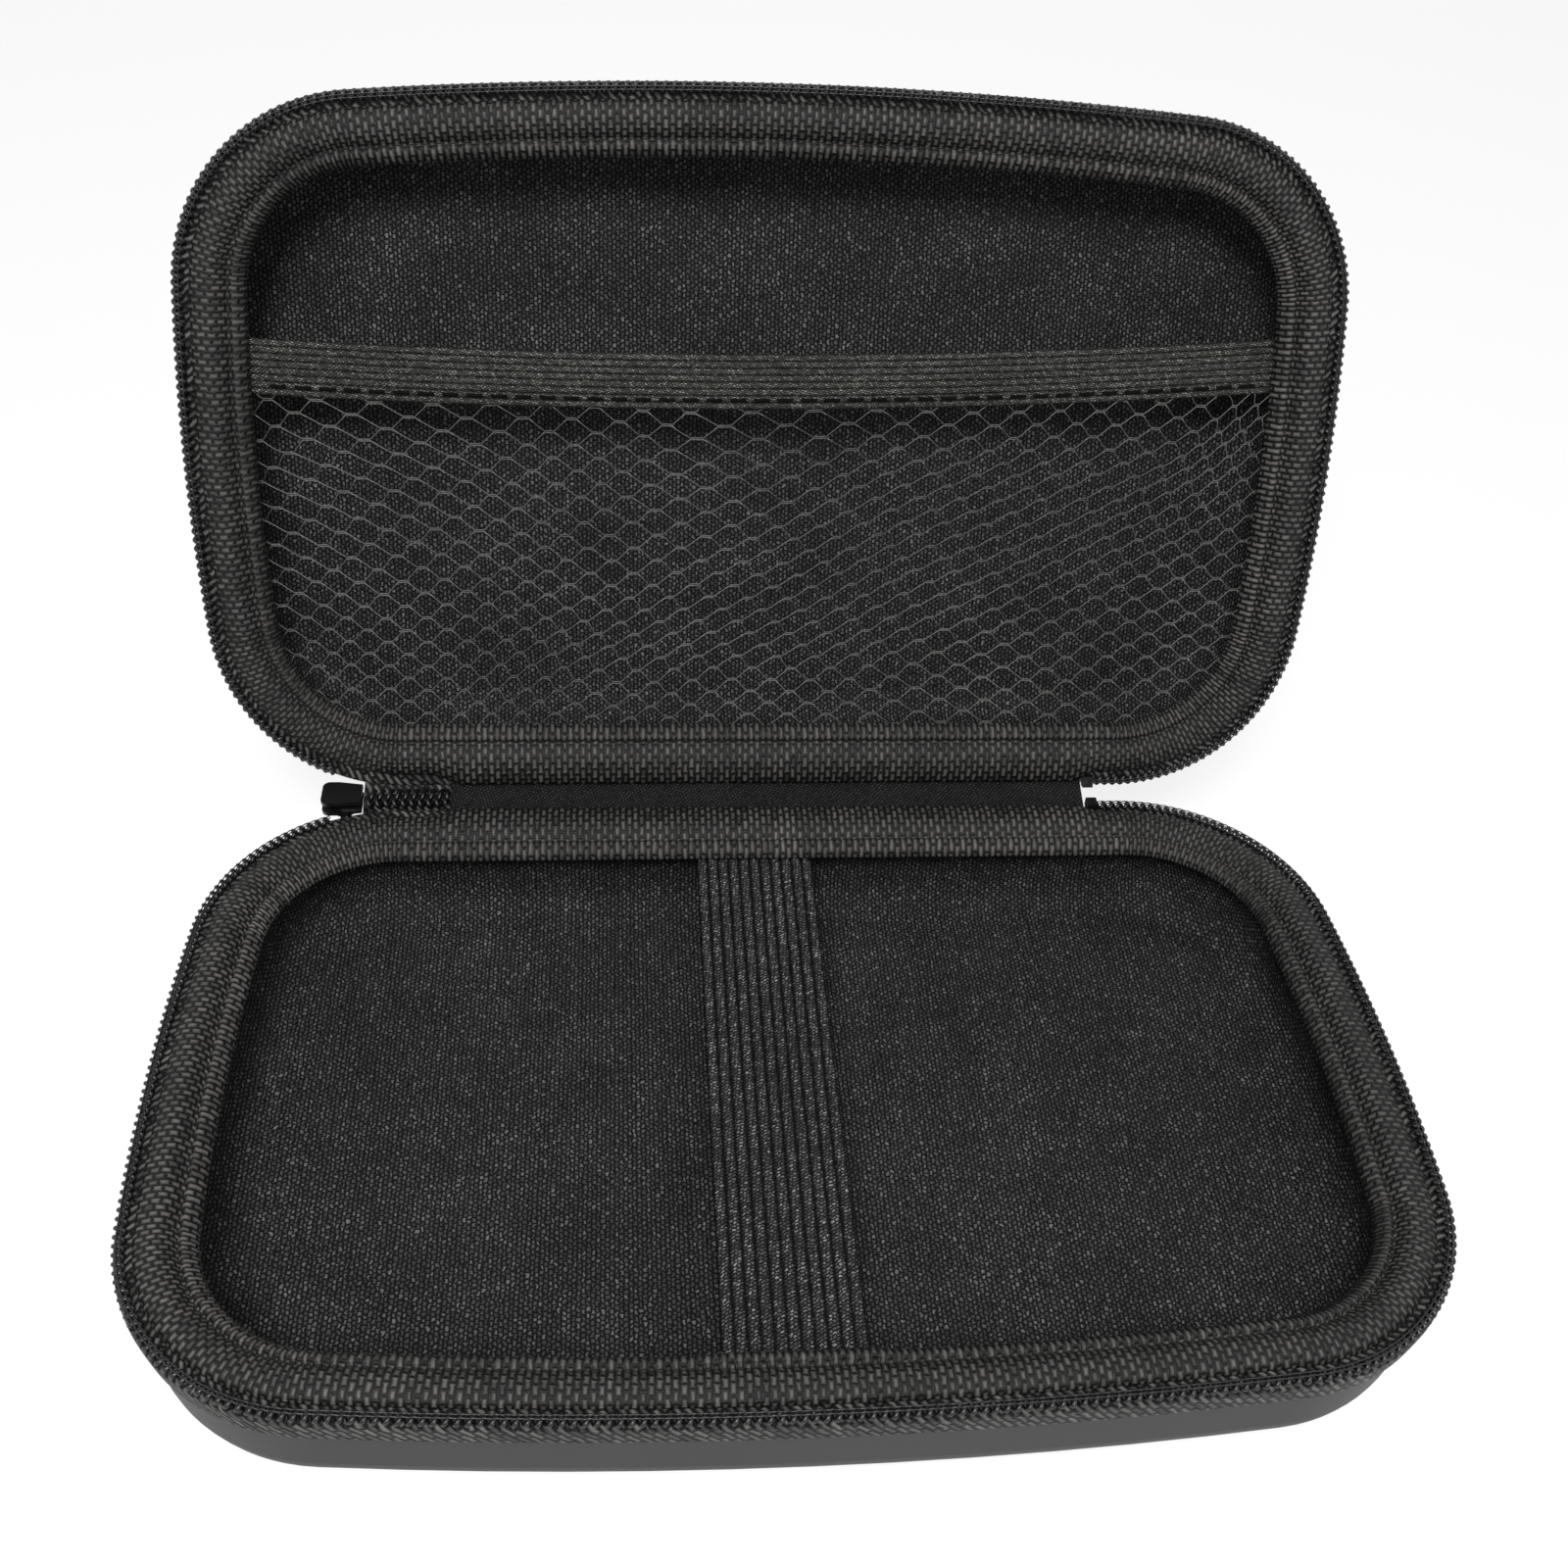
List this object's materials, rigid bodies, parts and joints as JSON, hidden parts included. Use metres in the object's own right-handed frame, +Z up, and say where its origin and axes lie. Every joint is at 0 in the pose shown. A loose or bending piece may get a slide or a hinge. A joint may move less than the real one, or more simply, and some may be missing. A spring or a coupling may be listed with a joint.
{
  "type": "zippered handheld console carrying case",
  "caption": "Moulded zippered carrying case for a handheld console, open, with an elastic strap in the base and a net pocket in the lid.",
  "frame": {"origin": "centre of the base outline, on the flat underside that the case rests on", "axes": "+X along the width, to the right seen from the front; +Y to the rear, where the lid is hinged; +Z up"},
  "size_m": [0.235, 0.217, 0.1637],
  "materials": {
    "shell_foam": "smooth matte coating over moulded foam",
    "lining_knit": "fine rib knit",
    "binding_ribbon": "grosgrain",
    "zip_tape": "twill",
    "zip_coil": "satin nylon",
    "zip_metal": "satin black",
    "elastic_webbing": "ribbed elastic",
    "net_thread": "soft thread",
    "sewing_thread": "soft thread",
    "hinge_cloth": "coarse plain weave"
  },
  "bodies": {
    "base": {"base_shell": "shell_foam", "base_lining": "lining_knit", "base_binding": "binding_ribbon", "base_zip_tape": "zip_tape", "base_zip_coil": "zip_coil", "base_zip_stop": "zip_metal", "elastic_strap": "elastic_webbing", "hinge_outer": "hinge_cloth", "hinge_inner": "hinge_cloth", "zip_chain": "zip_coil", "zip_slider": "zip_metal"},
    "lid": {"lid_shell": "shell_foam", "lid_lining": "lining_knit", "lid_binding": "binding_ribbon", "lid_zip_tape": "zip_tape", "lid_zip_coil": "zip_coil", "lid_zip_stop": "zip_metal", "pocket_band": "elastic_webbing", "pocket_net": "net_thread", "pocket_stitches": "sewing_thread"},
    "pull": {"zip_pull": "zip_metal"}
  },
  "joints": [
    {"name": "lid_hinge", "type": "hinge", "parent": "base", "child": "lid", "pos_m": [0, 0.0735, 0.0267], "axis": [-1, 0, 0], "range_deg": [-108.9, 60], "deforming": ["hinge_outer", "hinge_inner"]},
    {"name": "pull_swing", "type": "hinge", "parent": "base", "child": "pull", "pos_m": [-0.0908, 0.0742, 0.02405], "axis": [0, 1, 0], "range_deg": [-30, 75]}
  ]
}
